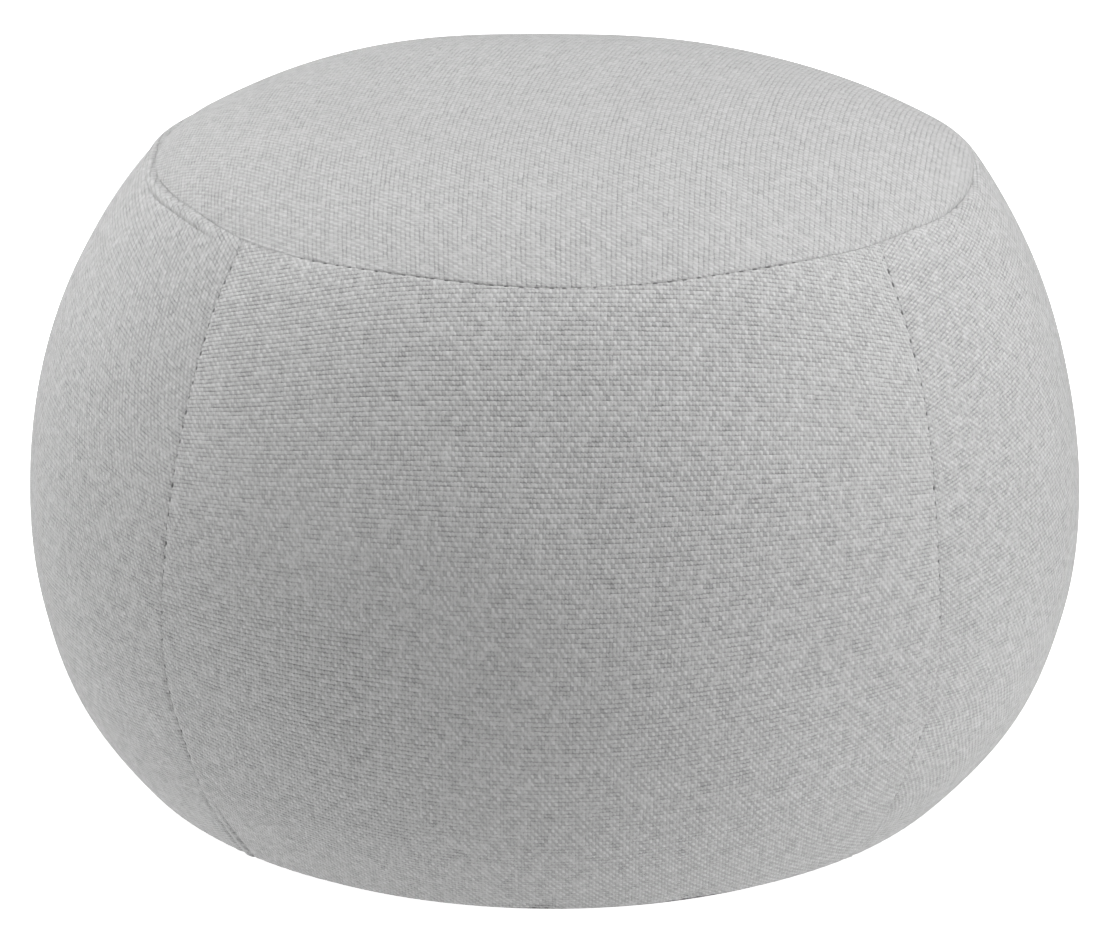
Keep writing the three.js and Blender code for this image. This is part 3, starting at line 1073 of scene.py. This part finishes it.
def woven_material(name, grey, depth=1.0):
    """A plain weave in metres on the map named Weave: warp threads go up the map and weft threads across."""
    material = plain_material(name, grey)
    make = NodeMaker(material)
    place = make.map_named("Weave")
    across, up = make.split(place)
    warp = thread_set(make, across, up, WARP_PITCH, WARP_STRIDE, WARP_LAYERS, True)
    weft = thread_set(make, up, across, WEFT_PITCH, WEFT_STRIDE, WEFT_LAYERS, False)
    warp_top = thread_top(make, warp, weft, WARP_HALF, WARP_THICKNESS, 1.0)
    weft_top = thread_top(make, weft, warp, WEFT_HALF, WEFT_THICKNESS, -1.0)
    row_gap = thread_gap(make, weft, warp)
    column_gap = thread_gap(make, warp, weft)
    fibre = make.noise(place, 1 / (FIBRE * MM), FINE_DETAIL)

    # Light and dark lengths of yarn, fibres, crossings and clouds, and painted shade in the gaps between
    # threads
    weft_over = make.maths("GREATER_THAN", weft_top, warp_top)
    yarn = make.maths("MULTIPLY_ADD", weft_over, make.maths("SUBTRACT", weft.yarn, warp.yarn), warp.yarn)
    crossing = make.node("TexWhiteNoise", make.vector(warp.number, weft.number, 0.0)).outputs[0]
    diagonal = make.maths("COSINE", make.maths("MULTIPLY", make.maths("ADD", warp.line, weft.line), math.pi))
    shade = make.maths("MULTIPLY_ADD", diagonal, DIAGONAL_CONTRAST * depth, 1.0)
    variations = (
        (yarn, YARN_CONTRAST),
        (fibre, FIBRE_CONTRAST),
        (crossing, CROSSING_CONTRAST),
        (make.noise(place, CLOUD_SCALE, FINE_DETAIL), CLOUD_CONTRAST),
    )
    for value, contrast in variations:
        shade = make.maths("MULTIPLY_ADD", make.maths("SUBTRACT", value, 0.5), contrast * depth, shade)
    # Painted shade in the gaps between threads, darkening the colour where the threads would shade each other
    for value, contrast in ((row_gap, ROW_GAP_SHADE_AND_DEPTH), (column_gap, COLUMN_GAP_SHADE)):
        shade = make.maths("MULTIPLY", shade, make.maths("MULTIPLY_ADD", value, -contrast * depth, 1.0))
    shade = make.maths("MULTIPLY", shade, grey)

    height = make.maths("SMOOTH_MAX", warp_top, weft_top, CROSSING_BLEND)
    relief = make.maths("MULTIPLY_ADD", fibre, FIBRE_RELIEF, height)
    relief = make.maths("SUBTRACT", relief, make.maths("MULTIPLY", row_gap, ROW_GAP_SHADE_AND_DEPTH))
    shader = material.node_tree.nodes["Principled BSDF"]
    make.feed(shader.inputs["Base Color"], make.vector(shade, shade, shade))
    make.feed(shader.inputs["Roughness"], make.maths("MULTIPLY_ADD", fibre, -FIBRE_SHINE, 1.0))
    make.feed(shader.inputs["Normal"], make.bump(relief, WEAVE_RELIEF * depth * MM))
    shader.inputs["Sheen Weight"].default_value = SHEEN
    shader.inputs["Sheen Roughness"].default_value = SHEEN_ROUGHNESS
    return material


def thread_material(name, grey):
    """A twisted thread in metres on the map named Weave, which goes across around it and up along it."""
    material = plain_material(name, grey)
    make = NodeMaker(material)
    place = make.map_named("Weave")
    around, along = make.split(place)
    turn = make.maths("DIVIDE", around, math.tau * THREAD_RADIUS * MM)
    turn = make.maths("ADD", turn, make.maths("DIVIDE", along, PLY_LENGTH * MM))
    ply = make.maths("SINE", make.maths("MULTIPLY", turn, math.tau * PLY_COUNT))
    fibre = make.noise(place, 1 / (FIBRE * MM), FINE_DETAIL)
    shade = make.maths("MULTIPLY_ADD", ply, PLY_CONTRAST, 1 - FIBRE_CONTRAST / 2)
    shade = make.maths("MULTIPLY_ADD", fibre, FIBRE_CONTRAST, shade)
    shade = make.maths("MULTIPLY", shade, grey)
    shader = material.node_tree.nodes["Principled BSDF"]
    make.feed(shader.inputs["Base Color"], make.vector(shade, shade, shade))
    make.feed(shader.inputs["Normal"], make.bump(ply, PLY_RELIEF * MM))
    return material


# Stage
def make_camera():
    data = bpy.data.cameras.new("camera")
    data.sensor_width = SENSOR_WIDTH
    data.lens = FOCAL_PIXELS / PHOTO_WIDTH * SENSOR_WIDTH
    data.clip_start = CAMERA_NEAR
    data.clip_end = CAMERA_FAR
    camera = new_object("camera", data)
    back = Vector((0, -math.cos(CAMERA_ELEVATION), math.sin(CAMERA_ELEVATION)))
    place = Vector(CAMERA_TARGET) * MM + back * CAMERA_DISTANCE * MM
    turn = (-back).to_track_quat("-Z", "Y").to_matrix().to_4x4()
    camera.matrix_world = Matrix.Translation(place) @ turn @ Matrix.Rotation(CAMERA_ROLL, 4, "Z")
    bpy.context.scene.camera = camera


def make_floor():
    """A pale floor that the camera sees, and that throws no light on the pouf."""
    mesh = bpy.data.meshes.new("floor")
    sides = ((-1, -1), (1, -1), (1, 1), (-1, 1))
    corners = [(x * FLOOR_HALF, y * FLOOR_HALF, FLOOR_LEVEL) for x, y in sides]
    mesh.from_pydata(corners, [], [(0, 1, 2, 3)])
    material = plain_material("pale_floor", FLOOR_GREY)
    shader = material.node_tree.nodes["Principled BSDF"]
    shader.inputs["Emission Color"].default_value = (1, 1, 1, 1)
    shader.inputs["Emission Strength"].default_value = FLOOR_GLOW
    mesh.materials.append(material)
    floor = new_object("floor", mesh)
    floor.visible_diffuse = False


def make_lights():
    for name, place, width, height, watts in LIGHTS:
        data = bpy.data.lights.new(name, "AREA")
        data.shape = "RECTANGLE"
        data.size = width
        data.size_y = height
        data.energy = watts
        light = new_object(name, data)
        light.location = place
        aim = Vector(LIGHT_TARGET) - Vector(place)
        light.rotation_euler = aim.to_track_quat("-Z", "Y").to_euler()


def make_world():
    world = bpy.data.worlds.new("studio")
    world.use_nodes = True
    make = NodeMaker(world)
    towards = make.node("TexCoord").outputs["Generated"]
    strength = 0.0
    for place, share in SOFT_LIGHT:
        facing = make.node("VectorMath", towards, place, operation="DOT_PRODUCT").outputs["Value"]
        strength = make.maths("MULTIPLY_ADD", make.maths("MAXIMUM", facing, 0.0), share, strength)
    background = world.node_tree.nodes["Background"]
    background.inputs["Color"].default_value = (1, 1, 1, 1)
    make.feed(background.inputs["Strength"], strength)
    bpy.context.scene.world = world
    bpy.context.scene.view_settings.view_transform = "Standard"


make_camera()
make_floor()
make_lights()
make_world()
cloth = woven_material("woven_cloth", CLOTH_GREY)
tight_cloth = woven_material("woven_cloth_tight", TOP_GREY, TOP_WEAVE)
base_cloth = woven_material("base_cloth", BASE_GREY)
thread = thread_material("thread", THREAD_GREY)
top = top_panel("top_cloth", tight_cloth)
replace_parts(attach(top, "root"), "top_panel")
for side, begin, end, seams in SIDE_PANELS:
    panel = side_panel(side + "_cloth", side, begin, end, seams, cloth)
    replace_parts(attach(panel, "root"), "side_panel_" + side)
base = base_panel("base_cloth_disc", base_cloth)
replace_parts(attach(base, "root"), "base_panel")
threads = stitching("stitching", thread)
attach(threads, "root")
